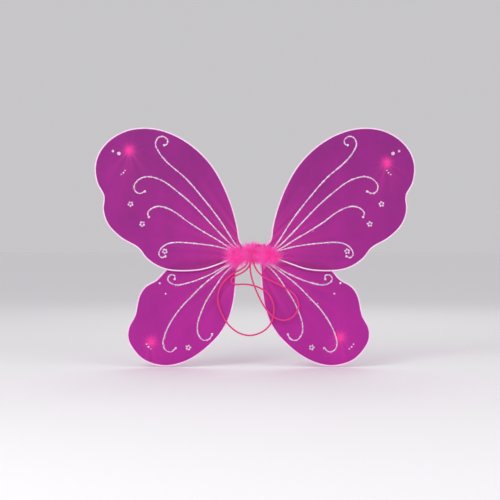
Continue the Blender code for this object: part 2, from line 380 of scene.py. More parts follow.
def coated_wire(look):
    """Spring steel wire in pale pink PVC, extruded smooth, so that it has a soft even gloss."""
    made, tree = new_material("pvc_coated_wire")
    drift = cloudy(tree, (90.0,) * 3, 4.0)
    grain = cloudy(tree, (1200.0,) * 3, 2.0)
    opaque(tree, {
        "Base Color": ramp_between(tree, drift, linear("#FBCDF1"), linear(look.colour), 0.3, 0.6),
        "Roughness": range_between(tree, drift, 0.28, 0.48), "IOR": 1.53,
        "Normal": bump_from(tree, grain, 0.2, 0.0001),
    })
    return made


def glitter_glue(look):
    """Clear glue packed with polyester glitter: a milky line with sparks, partly silver flakes and
    partly painted glints.
    """
    made, tree = new_material("glitter_glue")
    flakes = add_node(
        tree, "ShaderNodeTexVoronoi",
        {"Vector": scaled_place(tree, (1 / look.flake,) * 3), "Scale": 1.0},
    )
    share = add_node(tree, "ShaderNodeSeparateColor", {"Color": flakes.outputs["Color"]}).outputs
    opaque(tree, {
        # Random flake-sized cells are painted near white: the metallic ones read as silver flakes,
        # the rest are painted glints, bright whatever the light.
        "Base Color": ramp_between(
            tree, share["Red"], linear(look.glue), linear(look.bright), 0.25, 0.7
        ),
        "Metallic": range_between(tree, share["Green"], 0.0, 0.55, 0.55, 0.75),
        "Roughness": 0.22, "IOR": 1.48, "Coat Weight": 0.4, "Coat Roughness": 0.15,
        "Normal": bump_from(tree, share["Blue"], 0.8, 0.0003),
    })
    return made


def glitter_flake(look):
    """Metallised polyester flakes, cut from film, which shine like small mirrors."""
    made, tree = new_material("polyester_glitter")
    spread = cloudy(tree, (700.0,) * 3, 1.0)
    opaque(tree, {
        "Base Color": ramp_between(tree, spread, linear("#F2B9EA"), linear(look.bright), 0.4, 0.6),
        "Metallic": 0.7, "Roughness": 0.18,
    })
    return made


def dyed_down(look):
    """Turkey down, dyed hot pink and matte: painted shade at the barbs' roots and deep in
    the tuft, where they lie close, and painted highlight out at their tips.

    The down gives off a little pink light of its own, a painted glow though it is no lamp;
    the dye is taken to be a fluorescent one.
    """
    made, tree = new_material("dyed_down")
    tip = vertex_value(tree, "tip")
    opaque(tree, {
        # Painted shade at the barbs' roots and in the core, painted highlight out at their tips.
        "Base Color": ramp_between(
            tree, tip, linear(look.down_painted_shade), linear(look.down), 0.05, 0.95
        ),
        "Roughness": 0.85, "IOR": 1.54, "Sheen Weight": 0.1, "Sheen Roughness": 0.5,
        "Sheen Tint": linear("#FFB0DC"), "Specular IOR Level": 0.2,
        # A painted glow: the down gives off pink light of its own, though it is no lamp.
        "Emission Color": linear("#FF2EB0"), "Emission Strength": 0.16,
    })
    return made


def cloth_tape(look):
    """Woven cloth tape with a rubbery coat: a fine square weave under a dull gloss."""
    made, tree = new_material("woven_cloth_tape")
    weave = add_node(
        tree, "ShaderNodeMath",
        {0: bands(tree, WEAVE_SCALE, "X"), 1: bands(tree, WEAVE_SCALE, "Z")},
        operation="MULTIPLY",
    ).outputs["Value"]
    opaque(tree, {
        "Base Color": ramp_between(tree, weave, linear("#E22890"), linear(look.tape), 0.0, 0.6),
        "Roughness": 0.55, "Normal": bump_from(tree, weave, 0.5, 0.0002),
    })
    return made


def braided_elastic(look):
    """Polyester braid over rubber: soft, with a slight shine on the crown of each strand."""
    made, tree = new_material("braided_elastic")
    crown = vertex_value(tree, "crown")
    fibre = cloudy(tree, (2500.0,) * 3, 2.0)
    opaque(tree, {
        # The grooves between the strands are painted darker, painted shade, and the crowns carry
        # the braid's dye.
        "Base Color": ramp_between(tree, crown, linear("#B31060"), linear(look.colour), 0.0, 0.7),
        "Roughness": 0.6, "Sheen Weight": 0.12, "Sheen Tint": linear("#FF9FC8"),
        "Normal": bump_from(tree, fibre, 0.25, 0.0001),
    })
    return made


def in_scene(name, data):
    made = bpy.data.objects.new(name, data)
    bpy.context.scene.collection.objects.link(made)
    return made


def face_out(mesh):
    work = bmesh.new()
    work.from_mesh(mesh)
    bmesh.ops.recalc_face_normals(work, faces=work.faces)
    work.to_mesh(mesh)
    work.free()


def mesh_piece(name, verts, faces, finish, smooth=True, closed=True, **values):
    """A piece. Each of values is a list of numbers, one a vertex, which the material reads."""
    mesh = bpy.data.meshes.new(name)
    mesh.from_pydata([tuple(v) for v in verts], [], faces)
    mesh.validate()
    mesh.update()
    if smooth:
        mesh.shade_smooth()
    mesh.materials.append(finish)
    for key, numbers in values.items():
        mesh.attributes.new(key, "FLOAT", "POINT").data.foreach_set("value", numbers)
    if closed:
        face_out(mesh)
    return in_scene(name, mesh)


def path_length(path):
    return sum((b - a).length for a, b in zip(path, path[1:]))


def direction_at(path, i):
    return (path[min(i + 1, len(path) - 1)] - path[max(i - 1, 0)]).normalized()


def smooth_path(points, gap):
    """Points about gap apart on a centripetal Catmull-Rom curve through the given ones."""
    given = [Vector(p) for p in points]
    padded = [given[0] * 2 - given[1], *given, given[-1] * 2 - given[-2]]
    steps = 16
    fine = []
    for a, b, c, d in zip(padded, padded[1:], padded[2:], padded[3:]):
        ta = 0.0
        tb = ta + math.sqrt((b - a).length)
        tc = tb + math.sqrt((c - b).length)
        td = tc + math.sqrt((d - c).length)
        for step in range(steps):
            t = tb + (tc - tb) * step / steps
            ab = a * ((tb - t) / (tb - ta)) + b * ((t - ta) / (tb - ta))
            bc = b * ((tc - t) / (tc - tb)) + c * ((t - tb) / (tc - tb))
            cd = c * ((td - t) / (td - tc)) + d * ((t - tc) / (td - tc))
            abc = ab * ((tc - t) / (tc - ta)) + bc * ((t - ta) / (tc - ta))
            bcd = bc * ((td - t) / (td - tb)) + cd * ((t - tb) / (td - tb))
            fine.append(abc * ((tc - t) / (tc - tb)) + bcd * ((t - tb) / (tc - tb)))
    fine.append(given[-1])
    return evenly(fine, gap)


def evenly(fine, gap):
    """Points about gap apart along a line of finer ones."""
    total = path_length(fine)
    count = max(2, round(total / gap))
    wanted = [total * i / count for i in range(count + 1)]
    spaced = []
    run = 0.0
    for a, b in zip(fine, fine[1:]):
        length = (b - a).length
        while wanted and wanted[0] <= run + length + 1e-12:
            spaced.append(a.lerp(b, (wanted.pop(0) - run) / max(length, 1e-12)))
        run += length
    spaced.extend(fine[-1] for _ in wanted)
    return spaced


def angles(sides):
    """The turns of the corners of a ring with so many sides."""
    return [2 * math.pi * k / sides for k in range(sides)]


def circle(side, up, radius, sides):
    """Points round a circle in the plane of side and up."""
    return [(side * math.cos(a) + up * math.sin(a)) * radius for a in angles(sides)]


def wall(start, rings, sides):
    """The faces between rings of vertices, the first of which starts at start."""
    faces = []
    for a in range(start, start + (rings - 1) * sides, sides):
        for k in range(sides):
            n = (k + 1) % sides
            faces.append((a + k, a + n, a + sides + n, a + sides + k))
    return faces


def closed_wall(start, rings, sides):
    """The same, with a face over each end."""
    last = start + (rings - 1) * sides
    ends = [tuple(reversed(range(start, start + sides))), tuple(range(last, last + sides))]
    return wall(start, rings, sides) + ends


def peak(ring, sides, top):
    """The faces from a ring of vertices to one point."""
    return [(ring + k, ring + (k + 1) % sides, top) for k in range(sides)]


def rings_along(path, section):
    """Vertices and faces of a closed tube. section(i, side, up) gives ring i about the path."""
    verts = []
    side = direction_at(path, 0).orthogonal().normalized()
    for i, here in enumerate(path):
        along = direction_at(path, i)
        side = (side - along * side.dot(along)).normalized()
        verts.extend(here + offset for offset in section(i, side, along.cross(side)))
    return verts, closed_wall(0, len(path), len(verts) // len(path))


def cover_loop(name):
    """The outline of a wing's cover, in order, as (x, z) points, starting beside the hub."""
    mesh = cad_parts[name + "_cover"].data
    keys = {v.index: (round(v.co.x, 5), round(v.co.z, 5)) for v in mesh.vertices}
    used = set()
    for face in mesh.polygons:
        if face.normal.y < -0.9:
            ring = [keys[i] for i in face.vertices]
            used.update(zip(ring, ring[1:] + ring[:1]))
    following = {a: b for a, b in used if a != b and (b, a) not in used}
    start = min(following, key=lambda p: math.hypot(p[0], p[1]))
    loop = [start]
    while following[loop[-1]] != start and len(loop) <= len(following):
        loop.append(following[loop[-1]])
    return [Vector((x, z)) for x, z in loop]


def loop_area(loop):
    """The area inside a loop of (x, z) points, below nought if they run clockwise."""
    return sum(a.x * b.y - b.x * a.y for a, b in zip(loop, loop[1:] + loop[:1])) / 2


class Wing:
    """What a wing's pieces need to know of its frame: its plane, rim, root and tie."""

    def __init__(self, name, look):
        self.name = name
        self.pair = name.split("_")[0]
        self.side = WINGS[name]
        self.look = look
        self.low, self.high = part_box(name + "_frame")
        self.plane = (self.low.y + self.high.y) / 2
        self.wire_radius = (self.high.y - self.low.y) / 2
        tie_low, tie_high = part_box(name + "_tie")
        self.tie = Vector(((tie_low.x + tie_high.x) / 2, (tie_low.z + tie_high.z) / 2))
        self.root = Vector((self.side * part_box("hub_wrap")[1].x, 0.0))
        self.path = self.wire_path()
        self.seed = sum(ord(c) for c in name)

    def wire_path(self):
        """The wire's centreline as (x, z), from its upper end at the hub to its lower one."""
        loop = cover_loop(self.name)
        gap = COVER_GAP + self.wire_radius
        turn = -1.0 if loop_area(loop) > 0 else 1.0
        near = sorted(range(len(loop)), key=lambda i: (loop[i] - self.root).length)
        first, second = sorted(near[:2], key=lambda i: -loop[i].y)
        ordered = [loop[(first + k) % len(loop)] for k in range(len(loop))]
        if (first + 1) % len(loop) == second:
            ordered = [ordered[0], *reversed(ordered[1:])]
            turn = -turn
        outer = []
        for i, here in enumerate(ordered):
            along = direction_at(ordered, i)
            outer.append(here + Vector((-along.y, along.x)) * turn * gap)
        ends = self.wire_ends()
        return [ends[0], *outer, ends[1]]

    def wire_ends(self):
        """The two places beside the hub where the wire starts and stops."""
        ends = []
        for number in (1, 2):
            low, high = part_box(f"{self.pair}_wire_end_{number}")
            ends.append(Vector((self.side * (high.x + STUB_GAP), (low.z + high.z) / 2)))
        return ends

    def slack(self, place):
        """How loosely the nylon lies at (x, z): tightest at the tips of the upper pair."""
        fall = (self.high.z - place.y) / (self.high.z - self.low.z)
        return 0.15 + 0.4 * fall if self.pair == "upper" else 0.62 + 0.25 * fall

    def pleats(self, place):
        """How far each skin stands out at (x, z) where it is gathered, and how bunched it is."""
        from_tie = (place - self.tie).length
        tie_angle = math.atan2(place.y - self.tie.y, place.x - self.tie.x)
        star = 0.5 * math.sin(9 * tie_angle + self.seed) + 0.5 * math.sin(14 * tie_angle + 2.1)
        reach = math.exp(-from_tie / PUCKER_FADE) * (1 - math.exp(-from_tie / PUCKER_START))
        pucker = self.look.pucker * reach * star
        dimple = -DIMPLE * math.exp(-((from_tie / DIMPLE_FADE) ** 2))
        hub = Vector(PLEAT_MIDDLE)
        from_root = (place - hub).length
        root_angle = math.atan2(place.y - hub.y, (place.x - hub.x) * self.side)
        fan = 0.6 * math.sin(31 * root_angle + self.seed) + 0.4 * math.sin(53 * root_angle + 1.3)
        root_reach = math.exp(-from_root / PLEAT_FADE)
        fold = self.look.pleat * root_reach * fan
        # The gather's folds run on furthest below the tie, towards the hub.
        below = max(0.0, (self.tie.y - place.y) / max(from_tie, 1e-6)) ** 2
        glow = 0.9 * math.exp(-((from_tie / SPOT_FADE) ** 2))
        ray = RAY_FADE + RAY_BELOW * below
        glow += 0.42 * math.exp(-from_tie / ray) * (0.65 + 0.5 * star)
        root_glow = root_reach * (0.85 + 0.45 * fan)
        return pucker + dimple + fold, min(1.0, max(0.0, glow + 0.9 * root_glow))

    def place(self, out, height):
        """(x, z) in the frame of a point given out from the pair's middle, in millimetres."""
        return Vector(((self.side * out + DRAWING_LIE[self.pair]) * MM, height * MM))

    def spoke(self, edge, share):
        """A point on the way from tie to rim. Near the hub it bows down, so that no two cross."""
        spot = self.tie.lerp(edge, share)
        if self.pair == "upper":
            bow = SPOKE_BOW * math.exp(-(edge - self.root).length / SPOKE_FADE)
            spot += Vector((self.side * 0.57, -0.82)) * bow * 4 * share * (1 - share)
        return spot

    def front(self, place):
        """A point on the front skin."""
        stand = self.look.half_depth + self.pleats(place)[0]
        return Vector((place.x, self.plane - stand, place.y))


def nylon_cover(wing, finish):
    """Two skins of stretched nylon that meet along the wire, puckered where they are gathered."""
    rim = [Vector((p.x, p.y)) for p in smooth_path([(*p, 0) for p in wing.path], RIM_GAP)]
    rings, crowding, rim_ease = 46, 0.85, 0.004
    verts, bunched, slack, faces = [], [], [], []

    def add(spot, depth, glow):
        verts.append((spot.x, wing.plane + depth, spot.y))
        bunched.append(glow)
        slack.append(wing.slack(spot))

    def ring(share, skin):
        start = len(verts)
        for edge in rim:
            spot = wing.spoke(edge, share)
            depth, glow = wing.pleats(spot)
            ease = min(1.0, (1 - share) * (edge - wing.tie).length / rim_ease)
            ease = ease * ease * (3 - 2 * ease)
            add(spot, skin * (wing.look.half_depth + depth) * ease, glow)
        return start

    shares = [(k / rings) ** crowding for k in range(1, rings)]
    skins = []
    for skin in (-1, 1):
        depth, glow = wing.pleats(wing.tie)
        centre = len(verts)
        add(wing.tie, skin * (wing.look.half_depth + depth), glow)
        skins.append((centre, [ring(share, skin) for share in shares]))
    edge_ring = ring(1.0, 0)
    count = len(rim)
    for back, (centre, starts) in enumerate(skins):
        made = [(centre, starts[0] + k, starts[0] + (k + 1) % count) for k in range(count)]
        for inner, outer in zip(starts, [*starts[1:], edge_ring]):
            for k in range(count):
                n = (k + 1) % count
                made.append((inner + k, outer + k, outer + n, inner + n))
        faces.extend(made if back else [tuple(reversed(face)) for face in made])
    return mesh_piece(wing.name + "_nylon", verts, faces, finish, bunched=bunched, slack=slack)


class FAIRY_OT_nylon_covers(bpy.types.Operator):
    """Stretches a nylon tube over each wing's wire"""

    bl_idname = "fairy.nylon_covers"
    bl_label = "Nylon Covers"

    def execute(self, context):
        look = context.scene.fairy_nylon
        finish = dyed_nylon(look)
        for name in WINGS:
            wing = Wing(name, look)
            cover = nylon_cover(wing, finish)
            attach(cover, name)
            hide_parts(name + "_cover")
        return {"FINISHED"}


class FAIRY_OT_wire_frames(bpy.types.Operator):
    """Bends the coated wire round each wing"""

    bl_idname = "fairy.wire_frames"
    bl_label = "Wire Frames"

    def execute(self, context):
        look = context.scene.fairy_wire
        finish = coated_wire(look)
        for name in WINGS:
            wing = Wing(name, context.scene.fairy_nylon)
            path = smooth_path([(p.x, wing.plane, p.y) for p in wing.path], look.point_gap)
            tube = rings_along(path, lambda i, side, up: circle(side, up, wing.wire_radius, 12))
            wire = mesh_piece(name + "_wire", *tube, finish)
            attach(wire, name)
            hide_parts(name + "_frame")
        for pair in ("upper", "lower"):
            for number in (1, 2):
                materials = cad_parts[f"{pair}_wire_end_{number}"].data.materials
                materials.clear()
                materials.append(finish)
        return {"FINISHED"}


def glue_line(points, look, dice, verts, faces):
    """A bead of glue along points that lie on the skin: flat below, rounded and lumpy above."""
    sides = 8
    start = len(verts)
    up = Vector((0, -1, 0))
    for i, here in enumerate(points):
        side = direction_at(points, i).cross(up).normalized()
        lump = 0.9 + 0.55 * noise.noise(here * 420) + 0.25 * noise.noise(here * 90)
        lump += dice.uniform(-0.14, 0.14)
        end = min(i, len(points) - 1 - i) + 0.5
        lump *= min(1.0, 0.45 + 0.28 * end)
        for turn in angles(sides):
            rise = math.sin(turn)
            lift = look.height * lump * rise if rise > 0 else look.height * 0.3 * rise
            verts.append(here + side * math.cos(turn) * look.half_width * lump + up * lift)
    faces.extend(closed_wall(start, len(points), sides))


def glue_dot(centre, radius, height, verts, faces):
    """A low dome of glue."""
    sides, rings = 14, 4
    start = len(verts)
    for ring in range(rings):
        turn = ring / rings * math.pi / 2
        reach = radius * math.cos(turn)
        reach *= 1 + 0.1 * noise.noise(centre * 700 + Vector((ring, 0, 0)))
        for a in angles(sides):
            edge = Vector((math.cos(a) * reach, -height * math.sin(turn), math.sin(a) * reach))
            verts.append(centre + edge)
    top = len(verts)
    verts.append(centre + Vector((0, -height, 0)))
    faces.extend(wall(start, rings, sides))
    faces.extend(peak(top - sides, sides, top))
    faces.append(tuple(reversed(range(start, start + sides))))


def flake(centre, width, dice, verts, faces):
    """One glitter flake: a thin six-sided chip, tilted at random."""
    tilt, half_thickness, sides = 0.7, 0.06, 6
    normal = Vector((dice.uniform(-tilt, tilt), -1.0, dice.uniform(-tilt, tilt))).normalized()
    side = normal.orthogonal().normalized()
    up = normal.cross(side)
    turn = dice.uniform(0, math.pi)
    start = len(verts)
    for level in (-half_thickness, half_thickness):
        for k in range(sides):
            a = turn + math.pi / 3 * k
            spot = centre + (side * math.cos(a) + up * math.sin(a)) * width / 2
            verts.append(spot + normal * level * width)
    faces.extend(closed_wall(start, 2, sides))


class FAIRY_OT_glitter(bpy.types.Operator):
    """Draws the glitter glue scrolls, dots and blossoms on each wing"""

    bl_idname = "fairy.glitter"
    bl_label = "Glitter"

    def execute(self, context):
        look = context.scene.fairy_glitter
        glue_finish = glitter_glue(look)
        flake_finish = glitter_flake(look)
        for name in WINGS:
            wing = Wing(name, context.scene.fairy_nylon)
            veins, dots, blossoms = DRAWINGS[wing.pair]
            dice = random.Random(wing.seed)
            beads, flakes = ([], []), ([], [])
            for vein in veins:
                path = smooth_path([(*wing.place(*p), 0) for p in vein], GLUE_GAP)
                spots = [wing.front(Vector((p.x, p.y))) for p in path]
                glue_line(spots, look, dice, *beads)
                # The nozzle leaves a blob where a scroll stops.
                glue_dot(spots[-1], look.half_width * 1.7, look.height, *beads)
                for spot in spots:
                    self.sprinkle(spot, look.half_width, look, dice, flakes, 1)
                    if dice.random() < STRAY_SHARE:
                        self.sprinkle(spot, look.half_width * 2.2, look, dice, flakes, 1)
            for out, height, radius in dots:
                spot = wing.front(wing.place(out, height))
                glue_dot(spot, radius * MM, look.height, *beads)
                self.sprinkle(spot, radius * MM, look, dice, flakes, 8)
            for out, height in blossoms:
                for turn in angles(PETALS):
                    turn += wing.seed
                    petal = wing.place(
                        out + PETAL_REACH * math.cos(turn), height + PETAL_REACH * math.sin(turn)
                    )
                    spot = wing.front(petal)
                    glue_dot(spot, PETAL_RADIUS * MM, look.height * 0.9, *beads)
                    self.sprinkle(spot, PETAL_RADIUS * MM, look, dice, flakes, 4)
            glue = mesh_piece(name + "_glue", *beads, glue_finish)
            glitter = mesh_piece(name + "_glitter", *flakes, flake_finish, smooth=False)
            for piece in (glue, glitter):
                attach(piece, name)
        return {"FINISHED"}

    def sprinkle(self, spot, reach, look, dice, flakes, count):
        """Flakes over a round of glue, lowest at its rim."""
        for _ in range(count):
            turn = dice.uniform(0, 2 * math.pi)
            far = reach * math.sqrt(dice.random()) * 1.05
            lift = look.height * (1.02 - 0.6 * (far / reach) ** 2)
            centre = spot + Vector((math.cos(turn) * far, -lift, math.sin(turn) * far))
            flake(centre, look.flake * dice.uniform(0.8, 1.5), dice, *flakes)


class FAIRY_OT_gathers(bpy.types.Operator):
    """Ties off the end of each nylon tube on the back of its wing"""

    bl_idname = "fairy.gathers"
    bl_label = "Gathers"

    def execute(self, context):
        look = context.scene.fairy_nylon
        finish = dyed_nylon(look)
        thread = braided_elastic(context.scene.fairy_elastic)
        for name in WINGS:
            wing = Wing(name, look)
            low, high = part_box(name + "_tie")
            reach = (high.x - low.x) / 2
            base = wing.plane + look.half_depth - DIMPLE
            bunch = self.bunch(wing, reach, base, high.y, finish)
            winding = self.winding(wing, reach, base + (high.y - base) * 0.45, thread)
            for piece, slot in ((bunch, "nylon"), (winding, "thread")):
                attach(piece, name)
            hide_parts(name + "_tie")
        return {"FINISHED"}

    def bunch(self, wing, reach, base, tip, finish):
        """The nylon drawn together: a pleated neck that opens into a frilled end."""
        sides = 72
        verts = []
        for row, (share, rise) in enumerate(BUNCH_PROFILE):
            for turn in angles(sides):
                frill = 0.1 * math.sin(12 * turn + 0.4 * row) + 0.05 * math.sin(19 * turn)
                far = reach * share * (1 + frill)
                lift = base + (tip - base) * min(1.0, rise * (1 + 0.12 * math.sin(7 * turn)))
                x, z = wing.tie.x + math.cos(turn) * far, wing.tie.y + math.sin(turn) * far
                verts.append((x, lift, z))
        faces = closed_wall(0, len(BUNCH_PROFILE), sides)
        return mesh_piece(wing.name + "_gather", verts, faces, finish, bunched=[1.0] * len(verts))

    def winding(self, wing, reach, depth, finish):
        """Three turns of thread round the neck."""
        turns, steps, radius = 3, 40, 0.00028
        far = reach * 0.45 + radius * 0.4
        path = []
        for k in range(turns * steps + 1):
            a = 2 * math.pi * k / steps
            y = depth + (k / steps - turns / 2) * radius * 1.7
            x, z = wing.tie.x + math.cos(a) * far, wing.tie.y + math.sin(a) * far
            path.append(Vector((x, y, z)))
        verts, faces = rings_along(path, lambda i, side, up: circle(side, up, radius, 8))
        return mesh_piece(wing.name + "_thread", verts, faces, finish, crown=[0.8] * len(verts))


class FAIRY_OT_roots(bpy.types.Operator):
    """Gathers the nylon round the wires where each wing meets the hub"""

    bl_idname = "fairy.roots"
    bl_label = "Gathered Roots"

    def execute(self, context):
        look = context.scene.fairy_nylon
        finish = dyed_nylon(look)
        hub_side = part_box("hub_wrap")[1].x
        for name in WINGS:
            wing = Wing(name, look)
            start, drift, _ = SLEEVES[wing.pair]
            ends = wing.wire_ends()
            near = (ends[0] + ends[1]) / 2
            near.x = wing.side * (hub_side + start)
            far = near + Vector((wing.side * SLEEVE_LENGTH, drift))
            spread = abs(ends[0].y - ends[1].y) / 2
            root = self.sleeve(wing, near, far, spread, finish)
            if wing.pair == "upper":
                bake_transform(root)
            else:
                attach(root, name)
        return {"FINISHED"}

    def sleeve(self, wing, near, far, spread, finish):
        """A pleated sleeve that flattens and widens from the hub out to the cover."""
        sides, rows = 64, 14
        near_depth, far_depth = SLEEVES[wing.pair][2], 0.0011
        near_height, far_height = spread + 0.0019, spread + 0.0035
        verts, bunched, slack = [], [], []
        for row in range(rows + 1):
            share = row / rows
            middle = near.lerp(far, share)
            tall = near_height * (1 - share) + far_height * share
            deep = near_depth * (1 - share) + far_depth * share
            for turn in angles(sides):
                pleat = 1 + 0.13 * math.sin(11 * turn + wing.seed)
                pleat += 0.06 * math.sin(17 * turn + 0.7 * share)
                # The outer end is cut back above and below, so that it runs out in a curve.
                back = 0.0055 * share * math.sin(turn) ** 2 + 0.001 * share * math.sin(9 * turn)
                up = math.sin(turn) * tall * (0.95 + 0.05 * pleat)
                spot = Vector((middle.x - wing.side * back, middle.y + up))
                verts.append((spot.x, wing.plane + math.cos(turn) * deep * pleat, spot.y))
                bunched.append(max(wing.pleats(spot)[1], 0.85 * (1 - share)))
                slack.append(1 - share * (1 - wing.slack(spot)))
        faces = closed_wall(0, rows + 1, sides)
        return mesh_piece(wing.name + "_root", verts, faces, finish, bunched=bunched, slack=slack)


class FAIRY_OT_hub(bpy.types.Operator):
    """Winds cloth tape round the wire ends"""

    bl_idname = "fairy.hub"
    bl_label = "Taped Hub"

    def execute(self, context):
        low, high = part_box("hub_wrap")
        middle = (low + high) / 2
        half = (high - low) / 2
        sides, rows, turns = 96, 76, 5
        step, slope, power = 0.022, 0.93, 2 / 5.5
        verts = []
        for row in range(rows + 1):
            along = row / rows
            end = min(along, 1 - along) * rows
            close = min(1.0, 0.82 + 0.09 * end)
            for k, turn in enumerate(angles(sides)):
                c, s = math.cos(turn), math.sin(turn)
                # Each turn of tape rises by its thickness and drops off over the one before.
                wind = (along * turns + k / sides) % 1.0
                down = 1 - wind if wind < slope else (wind - slope) / (1 - slope)
                crease = 1 + 0.006 * noise.noise(Vector((along * 9, c * 3, s * 3)))
                size = (1.0 - step * down) * crease * close
                y = math.copysign(abs(c) ** power, c) * half.y * size
                z = math.copysign(abs(s) ** power, s) * half.z * size
                verts.append((low.x + along * half.x * 2, middle.y + y, middle.z + z))
        finish = cloth_tape(context.scene.fairy_trim)
        tape = mesh_piece("hub_tape", verts, closed_wall(0, rows + 1, sides), finish)
        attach(tape, "hub")
        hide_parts("hub_wrap")
        return {"FINISHED"}


def barb(root, tip, bend, radius, tone, verts, faces, tips):
    """One barb of down: a three-sided spike that bends on its way out, lighter with more tone."""
    rows, sides = 5, 3
    start = len(verts)
    along = (tip - root).normalized()
    side = along.orthogonal().normalized()
    up = along.cross(side)
    for row in range(rows):
        share = row / rows
        spot = root.lerp(tip, share) + bend * (share * share)
        width = radius * (1 - 0.75 * share)
        verts.extend(spot + offset for offset in circle(side, up, width, sides))
        # From root to tip a barb runs from painted shade to painted highlight, raised or lowered
        # by its clump's random tone.
        tips.extend([share + tone] * sides)
    verts.append(tip + bend)
    tips.append(1.0 + tone)
    faces.extend(wall(start, rows, sides))
    end = start + rows * sides
    faces.extend(peak(end - sides, sides, end))
    faces.append((start + 2, start + 1, start))


def scatter(dice, spread):
    return Vector([dice.gauss(0, spread) for _ in range(3)])


class FAIRY_OT_feather_trim(bpy.types.Operator):
    """Fluffs a tuft of down on each side of the hub"""

    bl_idname = "fairy.feather_trim"
    bl_label = "Feather Trim"

    def execute(self, context):
        look = context.scene.fairy_trim
        finish = dyed_down(look)
        for name in ("left_tuft", "right_tuft"):
            low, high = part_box(name)
            centre = (low + high) / 2
            half = (high - low) / 2
            down = self.tuft(name, centre, half, look, finish)
            core = self.core(name, centre, half, finish)
            for piece in (down, core):
                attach(piece, "hub")
            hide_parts(name)
        self.hub_down(look, finish)
        return {"FINISHED"}

    def tuft(self, name, centre, half, look, finish):
        """Clumps of barbs that stand out from a middle, kept clear of the wings behind them."""
        dice = random.Random(name)
        verts, faces, tips = [], [], []
        hub_front = Vector(HUB_FRONT)
        for _ in range(look.clumps):
            # Two clumps in five lie along the quill cord, which runs on over the hub.
            along = dice.random() if dice.random() < CORD_SHARE else 0.0
            middle = centre.lerp(hub_front, along)
            shrink = Vector((1 - 0.6 * along, 1 - 0.7 * along, 1 - 0.3 * along))
            outer = self.clump_way(dice) * half * shrink
            root = middle + outer * dice.uniform(0.1, 0.5)
            reach = dice.uniform(0.75, 1.45)
            sweep = scatter(dice, CLUMP_SWEEP)
            sweep.y *= FLATTEN
            tone = dice.uniform(*TONES)
            for _ in range(look.barbs):
                fan = scatter(dice, BARB_FAN)
                fan.y *= FLATTEN
                tip = middle + outer * reach * dice.uniform(0.75, 1.1) + fan
                bend = sweep + scatter(dice, BARB_BEND)
                tip.y = min(tip.y, DOWN_BACK if abs(tip.x) > HUB_REACH else HUB_DOWN_BACK)
                tip.y = max(tip.y, CAD_LOW.y - DOWN_FRONT)
                bend.y = min(bend.y, 0.0)
                barb(root, tip, bend, look.barb_radius, tone, verts, faces, tips)
        return mesh_piece(name + "_down", verts, faces, finish, closed=False, tip=tips)

    def hub_down(self, look, finish):
        """The down that joins the tufts, flat over the hub, behind the elastics."""
        low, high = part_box("hub_wrap")
        dice = random.Random("hub_down")
        verts, faces, tips = [], [], []
        for _ in range(look.clumps):
            x, z = dice.uniform(low.x, high.x), dice.uniform(low.z, high.z) * 0.9
            root = Vector((x, low.y - 0.0002, z))
            turn = math.atan2(root.z, root.x) + dice.gauss(0, 0.55)
            reach = dice.uniform(0.004, 0.0085)
            tone = dice.uniform(*TONES)
            for _ in range(look.barbs):
                way = turn + dice.gauss(0, 0.3)
                length = reach * dice.uniform(0.7, 1.25)
                rise = dice.uniform(-0.0008, 0.0)
                tip = root + Vector((math.cos(way) * length, rise, math.sin(way) * length))
                bend = Vector((dice.gauss(0, BARB_BEND), 0.0, dice.gauss(0, BARB_BEND)))
                barb(root, tip, bend, look.barb_radius, tone, verts, faces, tips)
        down = mesh_piece("hub_down", verts, faces, finish, closed=False, tip=tips)
        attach(down, "hub")

    def clump_way(self, dice):
        """A way out of the tuft, mostly sideways and to the front."""
        while True:
            way = scatter(dice, 1)
            if way.length > 0.1:
                way.normalize()
                if way.y < 0.55:
                    return way

    def core(self, name, centre, half, finish):
        """The dense quill cord in the middle of the tuft, all but hidden by the down."""
        work = bmesh.new()
        bmesh.ops.create_icosphere(work, subdivisions=4, radius=1.0)
        for v in work.verts:
            lump = 0.5 * (1 + 0.22 * noise.noise(v.co * 5))
            v.co = v.co * half * lump + centre
        verts = [v.co.copy() for v in work.verts]
        faces = [tuple(v.index for v in face.verts) for face in work.faces]
        work.free()
        # The core takes the tuft's deep colour: painted shade, for its place in the middle of the
        # down.
        tips = [0.15] * len(verts)
        return mesh_piece(name + "_core", verts, faces, finish, closed=False, tip=tips)


def braided_tube(name, path, radius, finish):
    """A round braid: strands that cross in both directions over a soft core."""
    sides, strands, pitch = 20, 5, 0.0042
    crowns = []
    gap = (path[1] - path[0]).length

    def section(i, side, up):
        ring = []
        travel = 2 * math.pi * i * gap / pitch
        for a in angles(sides):
            # The crown also sets the colour: the grooves between strands get painted shade.
            crown = max(math.cos(strands * a + travel), math.cos(strands * a - travel))
            crown = crown * 0.5 + 0.5
            crowns.append(crown)
            out = side * math.cos(a) + up * math.sin(a)
            ring.append(out * radius * (0.93 + 0.08 * crown))
        return ring

    verts, faces = rings_along(path, section)
    return mesh_piece(name, verts, faces, finish, crown=crowns)


